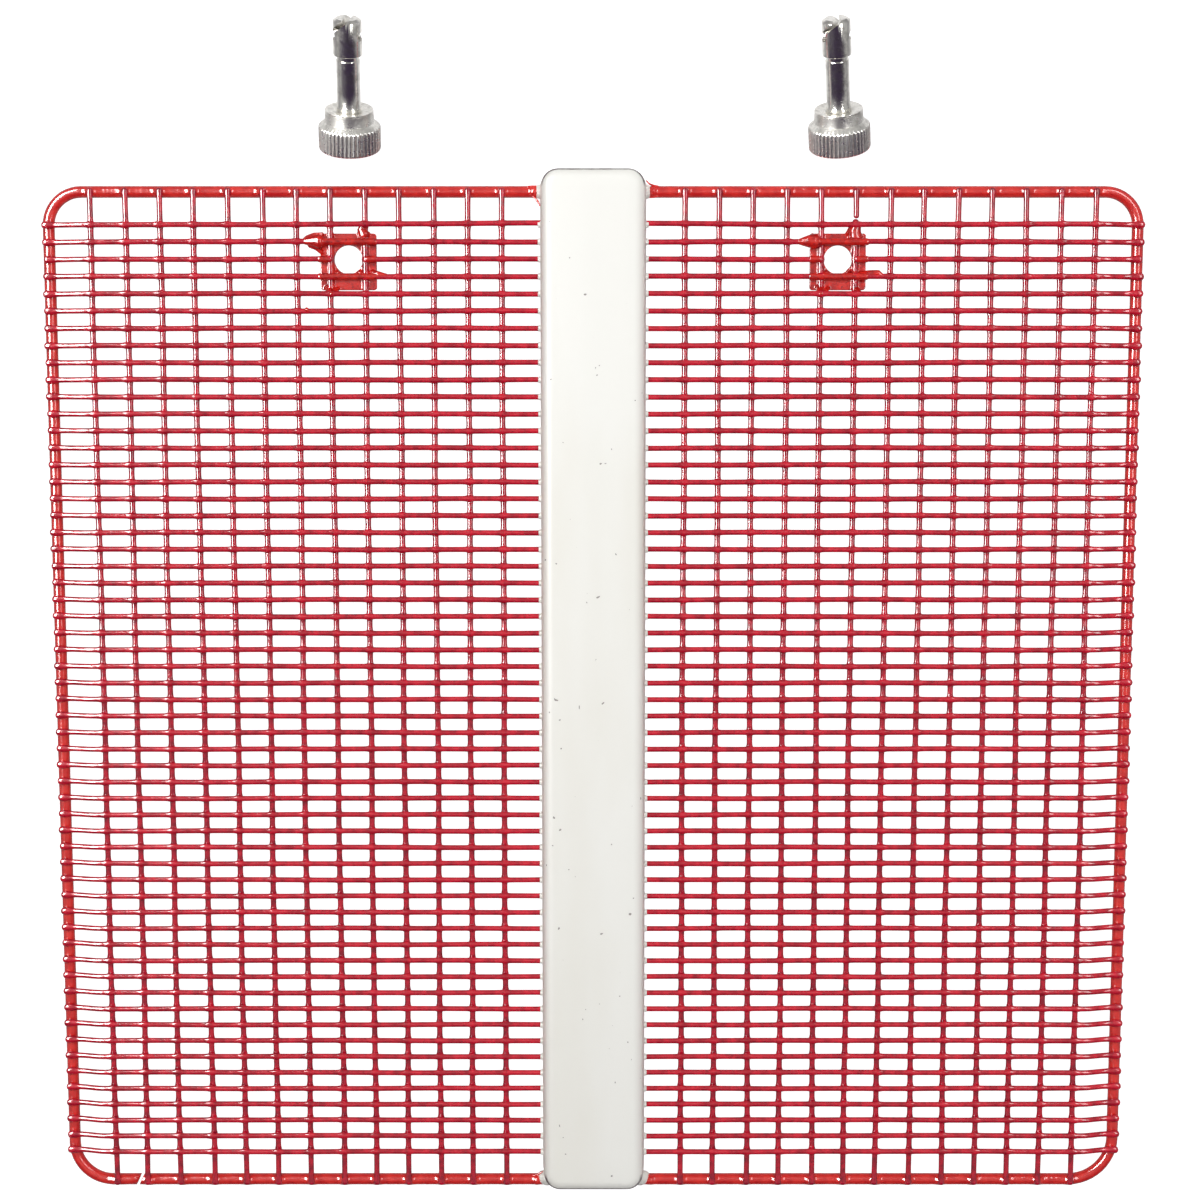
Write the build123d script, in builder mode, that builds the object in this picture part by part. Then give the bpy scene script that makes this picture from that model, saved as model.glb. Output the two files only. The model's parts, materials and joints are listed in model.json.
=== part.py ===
from build123d import *
import math
import os

# Welded wire front grille with a centre channel and two quarter turn fasteners.
# It lies on its back: +Z is the front, +Y the top edge, +X the right hand side.
# The fasteners stand on the same surface, beyond the top edge, in line with their holes.
# Millimetres. The origin is the middle of the whole footprint, on the resting surface.

overall_length = 446.4      # bottom edge of the rod loop to the tips of the fasteners

# frame rod
rod_diameter = 4.4
loop_width = 409.0          # between the centres of the side rods
loop_height = 384.0         # between the centres of the top and bottom rods
top_corner_radius = 12.5
bottom_left_radius = 15.0
bottom_right_radius = 17.0
joint_x = -179.0            # open butt joint in the bottom rod
joint_gap = 1.2
joint_slant = 26.0          # degrees

# mesh
wire_diameter = 2.0
cross_pitch = 6.4
cross_count = 57
first_cross_drop = 12.4     # top rod centre to the first cross wire
upright_pitch = 12.8
uprights_per_side = 13
inner_upright_x = 34.2
wires_per_group = 8
wire_end_overhang = 1.0     # past the rod centre
cut_row = 2                 # this cross wire is cut away at the fastener holes
cut_upright = 5             # this right hand upright is cut near its top
stub_drop = 10.0            # length of the stub below the top rod

# fastener tabs
tab_size = 21.0
tab_thickness = 1.6
tab_hole_radius = 5.4
tab_hole_offset = 0.8       # hole centre above the tab centre
cut_wire_clearance = 5.9    # hole centre to the end of the cut wire

# centre channel
channel_width = 38.0        # at the front face
channel_front_z = 16.4
channel_sheet = 1.0
channel_draft = 4.0         # degrees
channel_edge_radius = 4.0
channel_end_radius = 6.0
channel_top_overhang = 8.2  # past the top rod centre
channel_bottom_overhang = 0.4
notch_clearance = 0.1

# fastener, lengths along its axis from the outer face of the head
head_radius = 11.5
head_chamfer = 0.9
flute_end = 9.1
flute_count = 44
flute_radius = 0.55
shoulder_end = 10.65
shoulder_radius = 9.1
collar_radius = 8.85
collar_rim = 0.7
collar_end = 15.1
dish_radius = 8.3           # the end of the collar is slightly dished
dish_depth = 0.6
foot_radius = 4.5
foot_end = 16.0
shank_radius = 4.3
shank_end = 33.6
groove_radius = 4.0
groove_end = 34.95
barrel_radius = 5.3
barrel_chamfer = 0.4
barrel_end = 40.4           # from here a slight lead-in to the tip
lead_radius = 5.15
fastener_length = 48.55
tip_chamfer = 0.9
tip_radius = 3.95
spigot_radius = 3.0
spigot_depth = 7.0
slot_width = 2.65
slot_depth = 6.15           # tip to the centre of the detent
detent_radius = 1.57
detent_spread = 20.0        # degrees either side

# how each fastener stands: on the rim of its head, tipped back
tip_lift = 26.7             # degrees above the resting surface
left_head_x = -90.0
right_head_x = 91.3
left_turn = -2.9            # degrees in plan
right_turn = 6.0

# levels above the resting surface
rod_radius = rod_diameter / 2
wire_radius = wire_diameter / 2
rod_z = rod_radius
upright_z = rod_diameter + wire_radius
cross_z = upright_z + wire_diameter
tab_z = rod_diameter - tab_thickness

# places in plan
bottom_rod_y = rod_radius - overall_length / 2
top_rod_y = bottom_rod_y + loop_height
side_rod_x = loop_width / 2
outer_upright_x = inner_upright_x + (uprights_per_side - 1) * upright_pitch
hole_x = inner_upright_x + 4.5 * upright_pitch
hole_y = top_rod_y - first_cross_drop - cut_row * cross_pitch


def cross_y(row):
    return top_rod_y - first_cross_drop - row * cross_pitch


def upright_x(number):
    return inner_upright_x + number * upright_pitch


def save(piece, name):
    piece.part.label = name
    export_step(piece.part, f"parts/{name}.step")
    print(name, round(piece.part.volume, 1))


os.makedirs("parts", exist_ok=True)

# ---------------------------------------------------------------- frame rod
with BuildPart() as frame_rod:
    with BuildLine(Plane.XY.offset(rod_z)) as loop:
        Polyline(
            (side_rod_x, bottom_rod_y),
            (side_rod_x, top_rod_y),
            (-side_rod_x, top_rod_y),
            (-side_rod_x, bottom_rod_y),
            close=True,
        )
        left_corners, right_corners = loop.vertices().group_by(Axis.X)
        fillet([left_corners.sort_by(Axis.Y)[-1], right_corners.sort_by(Axis.Y)[-1]], top_corner_radius)
        lower_left, lower_right = [
            group.sort_by(Axis.Y)[0] for group in (left_corners, right_corners)
        ]
        fillet(lower_left, bottom_left_radius)
        fillet(lower_right, bottom_right_radius)
    with BuildSketch(Plane((0, bottom_rod_y, rod_z), x_dir=(0, 1, 0), z_dir=(1, 0, 0))):
        Circle(rod_radius)
    sweep()
    joint_plane = Plane((joint_x, bottom_rod_y, rod_z)).rotated((0, 0, -joint_slant))
    with BuildSketch(joint_plane):
        Rectangle(joint_gap, 2 * rod_diameter)
    extrude(amount=rod_diameter, both=True, mode=Mode.SUBTRACT)
save(frame_rod, "frame_rod")

# ---------------------------------------------------------------- upright wires
upright_top = top_rod_y + wire_end_overhang
upright_bottom = bottom_rod_y - wire_end_overhang


def upright_span(x, low, high):
    plane = Plane((x, low, upright_z), x_dir=(1, 0, 0), z_dir=(0, 1, 0))
    with BuildPart() as wire:
        with BuildSketch(plane):
            Circle(wire_radius)
        extrude(amount=high - low)
    return wire


for side_name, side in (("left", -1), ("right", 1)):
    for number in range(uprights_per_side):
        x = side * upright_x(number)
        top = upright_top
        if side == 1 and number == cut_upright:
            top = cross_y(0) + 2 * wire_radius
        upright = upright_span(x, upright_bottom, top)
        save(upright, f"upright_wire_{side_name}_{number + 1:02d}")

with BuildPart() as upright_stub:
    stub = upright_span(upright_x(cut_upright), top_rod_y - stub_drop, upright_top)
    add(stub.part)
    fillet(upright_stub.edges().sort_by(Axis.Y)[0], 0.6)
save(upright_stub, "upright_stub")

# ---------------------------------------------------------------- cross wires
# Each wire runs over the uprights and dips at both ends to lie on the side rods.
wire_end_x = side_rod_x + wire_end_overhang
dip_low_x = side_rod_x - 3
dip_high_x = outer_upright_x + 3
dip_radius = 10.0


def wire_along(points):
    with BuildPart() as wire:
        with BuildLine() as path:
            if len(points) > 2:
                FilletPolyline(*points, radius=dip_radius)
            else:
                Line(*points)
        with BuildSketch(Plane(points[0], z_dir=path.line % 0)):
            Circle(wire_radius)
        sweep()
    return wire


left_dip = [(-wire_end_x, 0, upright_z), (-dip_low_x, 0, upright_z), (-dip_high_x, 0, cross_z)]
right_dip = [(-x, y, z) for x, y, z in reversed(left_dip)]
full_wire = wire_along(left_dip + right_dip)
cut_end_x = hole_x + cut_wire_clearance
cut_start_x = hole_x - cut_wire_clearance
cut_left = wire_along(left_dip + [(-cut_end_x, 0, cross_z)])
cut_middle = wire_along([(-cut_start_x, 0, cross_z), (cut_start_x, 0, cross_z)])
cut_right = wire_along([(cut_end_x, 0, cross_z)] + right_dip)

full_rows = [row for row in range(cross_count) if row != cut_row]
groups = range(0, len(full_rows), wires_per_group)
for group_number, start in enumerate(groups, start=1):
    with BuildPart() as cross_wires:
        for row in full_rows[start:start + wires_per_group]:
            with Locations((0, cross_y(row), 0)):
                add(full_wire.part)
    save(cross_wires, f"cross_wires_{group_number:02d}")

cut_pieces = (("left", cut_left), ("middle", cut_middle), ("right", cut_right))
for name, wire in cut_pieces:
    with BuildPart() as cut_wire:
        with Locations((0, cross_y(cut_row), 0)):
            add(wire.part)
    save(cut_wire, f"cut_wire_{name}")

# ---------------------------------------------------------------- fastener tabs
for side_name, side in (("left", -1), ("right", 1)):
    with BuildPart() as tab:
        with BuildSketch(Plane((side * hole_x, hole_y, tab_z))):
            with Locations((0, -tab_hole_offset)):
                RectangleRounded(tab_size, tab_size, 0.8)
            Circle(tab_hole_radius, mode=Mode.SUBTRACT)
        extrude(amount=tab_thickness)
    save(tab, f"{side_name}_tab")

# ---------------------------------------------------------------- centre channel
channel_top_y = top_rod_y + channel_top_overhang
channel_bottom_y = bottom_rod_y - channel_bottom_overhang
channel_length = channel_top_y - channel_bottom_y
channel_middle_y = (channel_top_y + channel_bottom_y) / 2
channel_depth = channel_front_z - rod_diameter
flare = channel_depth * math.tan(math.radians(channel_draft))

with BuildPart() as channel_hollow:
    hollow_plane = Plane((0, channel_middle_y, channel_front_z - channel_sheet))
    with BuildSketch(hollow_plane):
        hollow_width = channel_width - 2 * channel_sheet
        hollow_length = channel_length - 2 * flare - 2 * channel_sheet
        RectangleRounded(hollow_width, hollow_length, channel_end_radius - channel_sheet)
    extrude(amount=-channel_depth, taper=-channel_draft)
    hollow_edges = channel_hollow.faces().sort_by(Axis.Z)[-1].edges()
    fillet(hollow_edges, channel_edge_radius - channel_sheet)

with BuildPart() as centre_channel:
    with BuildSketch(Plane((0, channel_middle_y, channel_front_z))):
        RectangleRounded(channel_width, channel_length - 2 * flare, channel_end_radius)
    extrude(amount=-channel_depth, taper=-channel_draft)
    front_edges = centre_channel.faces().sort_by(Axis.Z)[-1].edges()
    fillet(front_edges, channel_edge_radius)
    add(channel_hollow.part, mode=Mode.SUBTRACT)
    notch_width = wire_diameter + 2 * notch_clearance
    notch_height = cross_z + wire_radius + notch_clearance - rod_diameter
    with BuildSketch(Plane.XY.offset(rod_diameter)):
        for row in range(cross_count):
            with Locations((0, cross_y(row))):
                Rectangle(2 * channel_width, notch_width)
    extrude(amount=notch_height, mode=Mode.SUBTRACT)
save(centre_channel, "centre_channel")

# ---------------------------------------------------------------- fasteners
# The rim of each head touches the resting surface, and the tips are the far edge of the footprint.
lift = math.radians(tip_lift)


def axis_plane(head_x, turn):
    across = math.cos(lift) * math.cos(math.radians(turn))
    aside = -math.cos(lift) * math.sin(math.radians(turn))
    reach = fastener_length * across + tip_radius * math.sqrt(1 - across ** 2)
    head_y = overall_length / 2 - reach
    head_z = head_radius * math.cos(lift) - head_chamfer * math.sin(lift)
    print("head", round(head_x, 3), round(head_y, 3), round(head_z, 3))
    return Plane(
        (head_x, head_y, head_z),
        x_dir=(math.cos(math.radians(turn)), math.sin(math.radians(turn)), 0),
        z_dir=(aside, across, math.sin(lift)),
    )


def profile_plane(plane):
    # x is the radius, y runs along the axis
    return Plane(plane.origin, x_dir=plane.x_dir, z_dir=-plane.y_dir)


def fastener_knob(plane):
    with BuildPart() as knob:
        with BuildSketch(profile_plane(plane)):
            with BuildLine():
                Polyline(
                    (0, 0),
                    (head_radius - head_chamfer, 0),
                    (head_radius, head_chamfer),
                    (head_radius, flute_end),
                    (shoulder_radius, shoulder_end),
                    (collar_radius, collar_end - collar_rim),
                    (collar_radius, collar_end),
                    (dish_radius, collar_end),
                    (foot_radius, collar_end - dish_depth),
                    (spigot_radius, collar_end - dish_depth),
                    (spigot_radius, collar_end - spigot_depth),
                    (0, collar_end - spigot_depth),
                    close=True,
                )
            make_face()
        revolve(axis=Axis(plane.origin, plane.z_dir))
        with BuildSketch(plane):
            with PolarLocations(head_radius + 0.15, flute_count):
                Circle(flute_radius)
        extrude(amount=flute_end, mode=Mode.SUBTRACT)
    return knob


def fastener_stud(plane):
    with BuildPart() as stud:
        with BuildSketch(profile_plane(plane)):
            with BuildLine():
                Polyline(
                    (0, collar_end - spigot_depth),
                    (spigot_radius, collar_end - spigot_depth),
                    (spigot_radius, collar_end - dish_depth),
                    (foot_radius, collar_end - dish_depth),
                    (foot_radius, foot_end),
                    (shank_radius, foot_end),
                    (shank_radius, shank_end),
                    (groove_radius, shank_end),
                    (groove_radius, groove_end),
                    (barrel_radius, groove_end + barrel_chamfer),
                    (barrel_radius, barrel_end),
                    (lead_radius, fastener_length - tip_chamfer),
                    (tip_radius, fastener_length),
                    (0, fastener_length),
                    close=True,
                )
            make_face()
        revolve(axis=Axis(plane.origin, plane.z_dir))
        add(twisted_slot(plane), mode=Mode.SUBTRACT)
        for spread in (-detent_spread, 0, detent_spread):
            along = plane.rotated((0, 0, spread))
            with BuildSketch(Plane(plane.origin, x_dir=plane.z_dir, z_dir=along.x_dir)):
                with Locations((fastener_length - slot_depth, 0)):
                    Circle(detent_radius)
            extrude(amount=2 * barrel_radius, both=True, mode=Mode.SUBTRACT)
    return stud


def twisted_slot(plane):
    # a diametral slot that turns through a quarter of a turn on its way down to the detent
    with BuildSketch(plane.offset(fastener_length + 0.05), mode=Mode.PRIVATE) as mouth:
        Rectangle(slot_width, 2.4 * barrel_radius)
    depth = -(slot_depth + 0.05) * plane.z_dir
    return Solid.extrude_linear_with_rotation(
        mouth.sketch.face(),
        center=plane.offset(fastener_length + 0.05).origin,
        normal=depth,
        angle=90,
    )


places = (("left", left_head_x, left_turn), ("right", right_head_x, right_turn))
for side_name, head_x, turn in places:
    place = axis_plane(head_x, turn)
    save(fastener_knob(place), f"{side_name}_fastener_knob")
    save(fastener_stud(place), f"{side_name}_fastener_stud")

print("rods", round(bottom_rod_y, 2), round(top_rod_y, 2), "hole", round(hole_x, 2), round(hole_y, 2))
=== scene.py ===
import bpy
import json
import math
import random
from mathutils import Matrix, Vector


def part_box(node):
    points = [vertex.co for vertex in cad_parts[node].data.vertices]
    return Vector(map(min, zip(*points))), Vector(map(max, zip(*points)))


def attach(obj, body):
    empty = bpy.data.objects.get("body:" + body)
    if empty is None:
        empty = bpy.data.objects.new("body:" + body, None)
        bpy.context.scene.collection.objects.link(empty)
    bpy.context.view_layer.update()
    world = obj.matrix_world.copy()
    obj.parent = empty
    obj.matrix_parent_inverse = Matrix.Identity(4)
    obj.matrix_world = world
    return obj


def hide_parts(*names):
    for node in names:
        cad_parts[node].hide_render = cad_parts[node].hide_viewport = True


# red wire grille with a cream channel, lying on its back, and its two quarter turn fasteners

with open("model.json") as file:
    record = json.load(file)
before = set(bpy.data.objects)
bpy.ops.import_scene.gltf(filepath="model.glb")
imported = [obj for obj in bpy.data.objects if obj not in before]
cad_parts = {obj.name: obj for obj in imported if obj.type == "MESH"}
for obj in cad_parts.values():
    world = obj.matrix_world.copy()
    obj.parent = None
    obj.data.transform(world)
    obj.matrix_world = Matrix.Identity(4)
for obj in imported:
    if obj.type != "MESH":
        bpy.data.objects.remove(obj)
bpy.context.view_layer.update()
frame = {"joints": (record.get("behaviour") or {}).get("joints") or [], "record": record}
mm = 0.001
xAxis = Vector((1, 0, 0))
yAxis = Vector((0, 1, 0))
zAxis = Vector((0, 0, 1))

# places read from the frame
rodLow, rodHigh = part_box("frame_rod")
rodRadius = (rodHigh.z - rodLow.z) / 2
sideRodX = rodHigh.x - rodRadius
topRodY = rodHigh.y - rodRadius
bottomRodY = rodLow.y + rodRadius

stubLow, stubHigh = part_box("upright_stub")
wireRadius = (stubHigh.z - stubLow.z) / 2
uprightZ = (stubHigh.z + stubLow.z) / 2
tipInset = wireRadius * 0.8   # depth of the dome on a wire's end
middleLow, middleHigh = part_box("cut_wire_middle")
crossZ = (middleHigh.z + middleLow.z) / 2
cutWireY = (middleHigh.y + middleLow.y) / 2

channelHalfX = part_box("centre_channel")[1].x

crossCount = 57
cutRow = 2
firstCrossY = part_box("cross_wires_01")[1].y - wireRadius
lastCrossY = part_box("cross_wires_07")[0].y + wireRadius
crossPitch = (firstCrossY - lastCrossY) / (crossCount - 1)
uprightCount = 13


def middleOf(node):
    low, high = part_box(node)
    return (low + high) / 2


def uprightNode(side, number):
    return f"upright_wire_{side}_{number:02d}"


uprightXs = sorted(middleOf(uprightNode(side, n)).x
                   for side in ("left", "right") for n in range(1, uprightCount + 1))


def crossY(row):
    return firstCrossY - row * crossPitch


print("places read")

# camera, standing a little above the top half and looking slightly down the grille
cameraSet = {
    "lens": 60,
    "right": 2.54 * mm,
    "up": 91.1 * mm,
    "height": 764 * mm,
    "tilt": 6.14,
}
cameraData = bpy.data.cameras.new("camera")
cameraData.lens = cameraSet["lens"]
cameraData.clip_start = 0.01
camera = bpy.data.objects.new("camera", cameraData)
camera.location = (cameraSet["right"], cameraSet["up"], cameraSet["height"])
camera.rotation_euler = (math.radians(-cameraSet["tilt"]), 0, 0)
bpy.context.scene.collection.objects.link(camera)
bpy.context.scene.camera = camera
bpy.context.scene.view_settings.view_transform = "Standard"


# materials
def newMaterial(name):
    material = bpy.data.materials.new(name)
    material.use_nodes = True
    nodes = material.node_tree.nodes
    nodes.clear()
    output = nodes.new("ShaderNodeOutputMaterial")
    shader = nodes.new("ShaderNodeBsdfPrincipled")
    material.node_tree.links.new(shader.outputs[0], output.inputs[0])
    return material, nodes, material.node_tree.links, shader


def noiseNode(nodes, links, scale, detail=2.0, stretch=None):
    place = nodes.new("ShaderNodeTexCoord")
    noise = nodes.new("ShaderNodeTexNoise")
    noise.inputs["Scale"].default_value = scale
    noise.inputs["Detail"].default_value = detail
    source = place.outputs["Object"]
    if stretch:
        mapping = nodes.new("ShaderNodeMapping")
        mapping.inputs["Scale"].default_value = stretch
        links.new(source, mapping.inputs["Vector"])
        source = mapping.outputs["Vector"]
    links.new(source, noise.inputs["Vector"])
    return noise


def rampNode(nodes, links, source, stops):
    ramp = nodes.new("ShaderNodeValToRGB")
    while len(ramp.color_ramp.elements) < len(stops):
        ramp.color_ramp.elements.new(0.5)
    for element, (place, colour) in zip(ramp.color_ramp.elements, stops):
        element.position = place
        element.color = (*colour, 1)
    links.new(source, ramp.inputs["Fac"])
    return ramp


def bumpNode(nodes, links, source, strength, distance, shader):
    bump = nodes.new("ShaderNodeBump")
    bump.inputs["Strength"].default_value = strength
    bump.inputs["Distance"].default_value = distance
    links.new(source, bump.inputs["Height"])
    links.new(bump.outputs["Normal"], shader.inputs["Normal"])


def rangeNode(nodes, links, source, low, high, fromLow=0, fromHigh=1):
    spread = nodes.new("ShaderNodeMapRange")
    spread.inputs["From Min"].default_value = fromLow
    spread.inputs["From Max"].default_value = fromHigh
    spread.inputs["To Min"].default_value = low
    spread.inputs["To Max"].default_value = high
    links.new(source, spread.inputs["Value"])
    return spread.outputs["Result"]


enamel = {
    "wireDeep": (0.40, 0.005, 0.020),
    "wireBright": (0.70, 0.012, 0.034),
    # the uprights get darker reds than the cross wires: painted shade on the same enamel
    "uprightShadedDeep": (0.27, 0.003, 0.020),
    "uprightShadedBright": (0.60, 0.008, 0.032),
    "rodDeep": (0.62, 0.018, 0.018),
    "rodBright": (0.78, 0.034, 0.026),
    "coatDeep": (0.40, 0.008, 0.008),
    "coatBright": (0.74, 0.020, 0.012),
    "pooled": (0.20, 0.004, 0.012),
    "mottleScale": 300,
    "poolScale": 1100,
    "peelScale": 1500,
}


def redEnamel(name, deep, bright, pooling, peelStrength, rough):
    # glossy stoved enamel: mottled red, darker where it has run thick, with a fine orange peel
    material, nodes, links, shader = newMaterial(name)
    mottle = noiseNode(nodes, links, enamel["mottleScale"], 4)
    colour = rampNode(nodes, links, mottle.outputs["Fac"], [(0.32, deep), (0.62, bright)])
    pools = noiseNode(nodes, links, enamel["poolScale"], 1)
    poolMask = rangeNode(nodes, links, pools.outputs["Fac"], 0, pooling, 0.60, 0.74)
    mix = nodes.new("ShaderNodeMix")
    mix.data_type = "RGBA"
    links.new(poolMask, mix.inputs["Factor"])
    links.new(colour.outputs["Color"], mix.inputs["A"])
    mix.inputs["B"].default_value = (*enamel["pooled"], 1)
    links.new(mix.outputs["Result"], shader.inputs["Base Color"])
    links.new(rangeNode(nodes, links, mottle.outputs["Fac"], rough * 0.7, rough * 1.3),
              shader.inputs["Roughness"])
    shader.inputs["Coat Weight"].default_value = 0.5
    shader.inputs["Coat Roughness"].default_value = 0.08
    peel = noiseNode(nodes, links, enamel["peelScale"], 2)
    bumpNode(nodes, links, peel.outputs["Fac"], peelStrength, 0.00025, shader)
    return material


wireRed = redEnamel("wireRed", enamel["wireDeep"], enamel["wireBright"], 0.6, 0.16, 0.15)
# the same red enamel made darker for the uprights: painted shade
uprightRedShaded = redEnamel("uprightRedShaded", enamel["uprightShadedDeep"], enamel["uprightShadedBright"], 0.8, 0.12, 0.11)
rodRed = redEnamel("rodRed", enamel["rodDeep"], enamel["rodBright"], 0.0, 0.05, 0.18)
coatRed = redEnamel("coatRed", enamel["coatDeep"], enamel["coatBright"], 0.8, 0.30, 0.16)

cream = {
    "pale": (0.93, 0.925, 0.87),
    "shade": (0.89, 0.875, 0.80),
    "speck": (0.16, 0.12, 0.11),
    # painted shade colour for the turned-down end edges
    "paintedEndShade": (0.10, 0.06, 0.07),
    "endZone": 7.5 * mm,          # how far the painted shade reaches in from each end
    "endShadeTop": 3.6 * mm,         # and down from the front
    "endShadeBottom": 4.6 * mm,
    "lowEndExtra": 0.15,          # the painted shade reaches further round the bottom end's edge
    "rust": (0.42, 0.16, 0.16),
    "rustReach": 3.6 * mm,
    "rustSpots": (                # which wall, in from it, which rod, up from it
        (-1, 0, topRodY, 3.6 * mm), (1, 0, topRodY, 5.2 * mm),
        (1, 0, bottomRodY, 8 * mm), (1, 2.2 * mm, bottomRodY, -1.2 * mm),
    ),
}


def mixOver(nodes, links, factor, below, colour):
    mix = nodes.new("ShaderNodeMix")
    mix.data_type = "RGBA"
    links.new(factor, mix.inputs["Factor"])
    links.new(below, mix.inputs["A"])
    mix.inputs["B"].default_value = (*colour, 1)
    return mix.outputs["Result"]


def mathNode(nodes, links, operation, *sources):
    node = nodes.new("ShaderNodeMath")
    node.operation = operation
    for socket, source in zip(node.inputs, sources):
        if isinstance(source, (int, float)):
            socket.default_value = source
        else:
            links.new(source, socket)
    return node.outputs["Value"]


def creamEnamel():
    # off white enamel with a few small specks and rusty spots at the joints with the rods; its end edges are
    # darkened with painted shade
    material, nodes, links, shader = newMaterial("channelCream")
    drift = noiseNode(nodes, links, 28, 3, (1, 0.25, 1))
    colour = rampNode(nodes, links, drift.outputs["Fac"], [(0.35, cream["shade"]), (0.6, cream["pale"])])
    specks = noiseNode(nodes, links, 640, 0)
    speckMask = rangeNode(nodes, links, specks.outputs["Fac"], 0, 0.8, 0.865, 0.88)
    last = mixOver(nodes, links, speckMask, colour.outputs["Color"], cream["speck"])
    place = nodes.new("ShaderNodeTexCoord")
    low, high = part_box("centre_channel")
    # the ends: painted shade where the edge turns down, broken up by noise
    split = nodes.new("ShaderNodeSeparateXYZ")
    links.new(place.outputs["Object"], split.inputs["Vector"])
    facing = nodes.new("ShaderNodeNewGeometry")
    facingSplit = nodes.new("ShaderNodeSeparateXYZ")
    links.new(facing.outputs["Normal"], facingSplit.inputs["Vector"])
    middleY, halfY = (low.y + high.y) / 2, (high.y - low.y) / 2
    offset = mathNode(nodes, links, "SUBTRACT", split.outputs["Y"], middleY)
    fromMiddle = mathNode(nodes, links, "ABSOLUTE", offset)
    zone = cream["endZone"]
    atEnd = rangeNode(nodes, links, fromMiddle, 0, 1, halfY - zone, halfY - zone * 0.7)
    belowMiddle = mathNode(nodes, links, "LESS_THAN", split.outputs["Y"], 0)
    lowEnd = mathNode(nodes, links, "MULTIPLY", belowMiddle, cream["lowEndExtra"])
    slant = mathNode(nodes, links, "SUBTRACT", facingSplit.outputs["Z"], lowEnd)
    steep = rangeNode(nodes, links, slant, 1, 0, 0.46, 0.60)
    rustAndShadeBreakup = noiseNode(nodes, links, 260, 2)
    patchy = rangeNode(nodes, links, rustAndShadeBreakup.outputs["Fac"], 0.7, 1, 0.35, 0.5)
    upper = rangeNode(nodes, links, split.outputs["Z"], 0, 1,
                      high.z - cream["endShadeBottom"], high.z - cream["endShadeTop"])
    onEdge = mathNode(nodes, links, "MULTIPLY", steep, upper)
    onEndEdge = mathNode(nodes, links, "MULTIPLY", atEnd, onEdge)
    paintedEndShade = mathNode(nodes, links, "MULTIPLY", onEndEdge, patchy)
    last = mixOver(nodes, links, paintedEndShade, last, cream["paintedEndShade"])
    # a few rusty spots beside the rods
    reach = cream["rustReach"]
    for out, inward, rodY, up in cream["rustSpots"]:
        x = high.x - inward if out > 0 else low.x
        away = nodes.new("ShaderNodeVectorMath")
        away.operation = "DISTANCE"
        links.new(place.outputs["Object"], away.inputs[0])
        away.inputs[1].default_value = (x, rodY + up, (low.z + high.z) / 2)
        near = rangeNode(nodes, links, away.outputs["Value"], 0.9, 0, reach * 0.3, reach)
        broken = rangeNode(nodes, links, rustAndShadeBreakup.outputs["Fac"], 0, 1, 0.44, 0.56)
        last = mixOver(nodes, links, mathNode(nodes, links, "MULTIPLY", near, broken), last, cream["rust"])
    links.new(last, shader.inputs["Base Color"])
    links.new(rangeNode(nodes, links, drift.outputs["Fac"], 0.42, 0.60), shader.inputs["Roughness"])
    peel = noiseNode(nodes, links, 420, 2)
    bumpNode(nodes, links, peel.outputs["Fac"], 0.12, 0.0003, shader)
    return material


channelCream = creamEnamel()

nickel = {"clean": (0.86, 0.84, 0.79), "dull": (0.56, 0.54, 0.50)}


def nickelPlate(name, grain, smooth, worn):
    # bright nickel with faint turning marks and a few dull spots
    material, nodes, links, shader = newMaterial(name)
    cloud = noiseNode(nodes, links, 420, 5)
    colour = rampNode(nodes, links, cloud.outputs["Fac"], [(0.30, nickel["dull"]), (0.55, nickel["clean"])])
    links.new(colour.outputs["Color"], shader.inputs["Base Color"])
    shader.inputs["Metallic"].default_value = 1.0
    rough = rangeNode(nodes, links, cloud.outputs["Fac"], worn, smooth)
    links.new(rough, shader.inputs["Roughness"])
    marks = noiseNode(nodes, links, grain, 3, (1, 2.5, 1))
    bumpNode(nodes, links, marks.outputs["Fac"], 0.30, 0.00012, shader)
    return material


studNickel = nickelPlate("studNickel", 1400, 0.08, 0.26)
knobNickel = nickelPlate("knobNickel", 1100, 0.20, 0.38)
print("materials made")


# mesh helpers
def addPiece(name, verts, faces, material, slot, body, *nodes):
    mesh = bpy.data.meshes.new(name)
    mesh.from_pydata(verts, [], faces)
    mesh.shade_smooth()
    piece = bpy.data.objects.new(name, mesh)
    bpy.context.scene.collection.objects.link(piece)
    piece.data.materials.append(material)
    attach(piece, body)
    if nodes:
        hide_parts(*nodes)
    return piece


def addTube(verts, faces, stations, sides=12):
    # each station is (centre, side direction, half width, half height, droop of the underside)
    start = len(verts)
    for centre, sideways, halfWidth, halfHeight, droop in stations:
        for k in range(sides):
            angle = 2 * math.pi * k / sides
            rise = math.sin(angle)
            lift = halfHeight if rise > 0 else halfHeight + droop
            verts.append(centre + sideways * (halfWidth * math.cos(angle)) + zAxis * (lift * rise))
    for i in range(len(stations) - 1):
        a = start + i * sides
        for k in range(sides):
            nextK = (k + 1) % sides
            faces.append((a + k, a + nextK, a + sides + nextK, a + sides + k))
    faces.append(tuple(start + k for k in reversed(range(sides))))
    last = start + (len(stations) - 1) * sides
    faces.append(tuple(last + k for k in range(sides)))


def roundEnds(stations, along):
    # a domed cap at each end, three rings deep
    def cap(station, direction):
        centre, sideways, halfWidth, halfHeight, droop = station
        rings = []
        for angle in (28, 55, 78):
            reach = math.sin(math.radians(angle)) * halfWidth * 0.8
            shrink = math.cos(math.radians(angle))
            rings.append((centre + direction * reach, sideways, halfWidth * shrink,
                          halfHeight * shrink, droop * shrink))
        return rings
    return (list(reversed(cap(stations[0], -along))) + stations + cap(stations[-1], along))


def bell(distance, width):
    return math.exp(-(distance / width) ** 2)


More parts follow.
